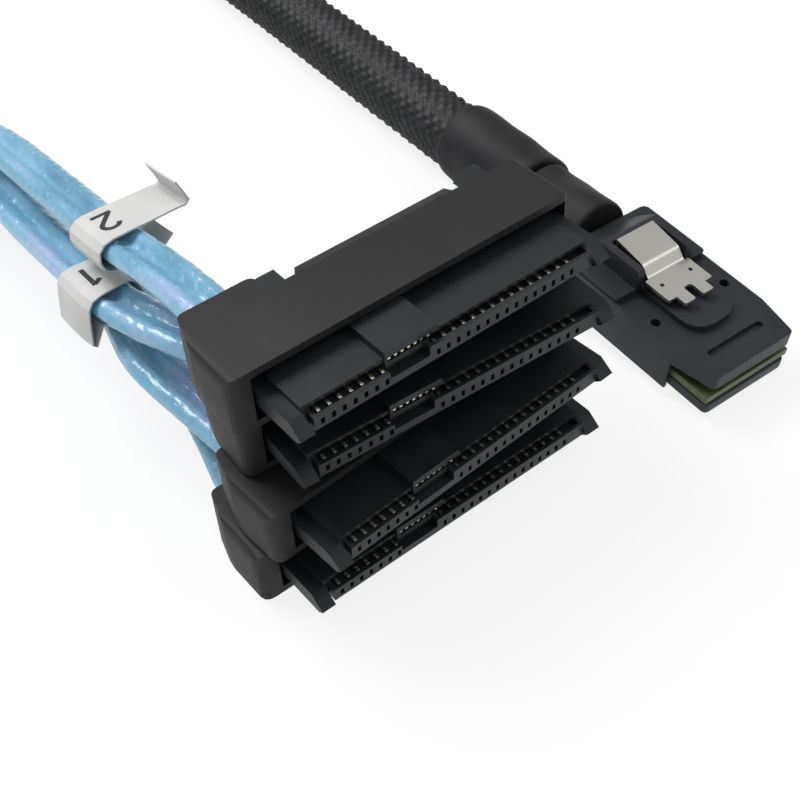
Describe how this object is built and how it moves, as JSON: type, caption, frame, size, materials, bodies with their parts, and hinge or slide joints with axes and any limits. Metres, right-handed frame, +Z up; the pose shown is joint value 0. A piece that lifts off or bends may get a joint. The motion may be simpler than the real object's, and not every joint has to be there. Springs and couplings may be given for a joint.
{
  "type": "mini sas breakout cable",
  "caption": "Cable with a latching plug, a braided trunk and flat data cables that fan out to a flat stack of drive connectors with guide arms.",
  "frame": {"origin": "middle of the bottom face of the lowest drive connector's housing, on the surface that the cable lies on", "axes": "+Z up; +X along the lowest connector's contact row; +Y from the mating side to the cables; the mating side faces -Y"},
  "size_m": [0.0893, 0.2405, 0.0305],
  "materials": {
    "housing_plastic": "finely textured dark plastic with a slight sheen",
    "insulator_plastic": "smooth dark moulded plastic",
    "contact_metal": "gold-plated tips",
    "plug_plastic": "satin dark plastic",
    "card_board": "circuit board edge",
    "latch_steel": "satin spring steel",
    "heat_shrink": "smooth satin heat-shrink tube",
    "braided_sleeve": "expandable braid of plastic yarn",
    "cable_film": "clear blue film, crinkled, over the wires",
    "label_paper": "satin paper label with a plain number"
  },
  "bodies": {
    "cable": {"housing_1": "housing_plastic", "insulator_1": "insulator_plastic", "signal_contacts_1": "contact_metal", "power_contacts_1": "contact_metal", "port_contacts_1": "contact_metal", "housing_2": "housing_plastic", "insulator_2": "insulator_plastic", "signal_contacts_2": "contact_metal", "power_contacts_2": "contact_metal", "port_contacts_2": "contact_metal", "housing_3": "housing_plastic", "insulator_3": "insulator_plastic", "signal_contacts_3": "contact_metal", "power_contacts_3": "contact_metal", "port_contacts_3": "contact_metal", "housing_4": "housing_plastic", "insulator_4": "insulator_plastic", "signal_contacts_4": "contact_metal", "power_contacts_4": "contact_metal", "port_contacts_4": "contact_metal", "plug_upper_shell": "plug_plastic", "plug_lower_shell": "plug_plastic", "paddle_card": "card_board", "plug_neck": "heat_shrink", "plug_heat_shrink": "heat_shrink", "trunk_sleeve": "braided_sleeve", "breakout_heat_shrink": "heat_shrink", "data_cable_1": "cable_film", "data_cable_2": "cable_film", "data_cable_3": "cable_film", "data_cable_4": "cable_film", "label_upper": "label_paper", "label_lower": "label_paper"},
    "latch": {"latch": "latch_steel"}
  },
  "joints": [
    {"name": "latch_press", "type": "hinge", "parent": "cable", "child": "latch", "pos_m": [0.04075, 0.00378, 0.00793], "axis": [0.9991, -0.019, -0.0382], "range_deg": [0, 3], "stiffness_Nm_per_rad": 0.02}
  ]
}
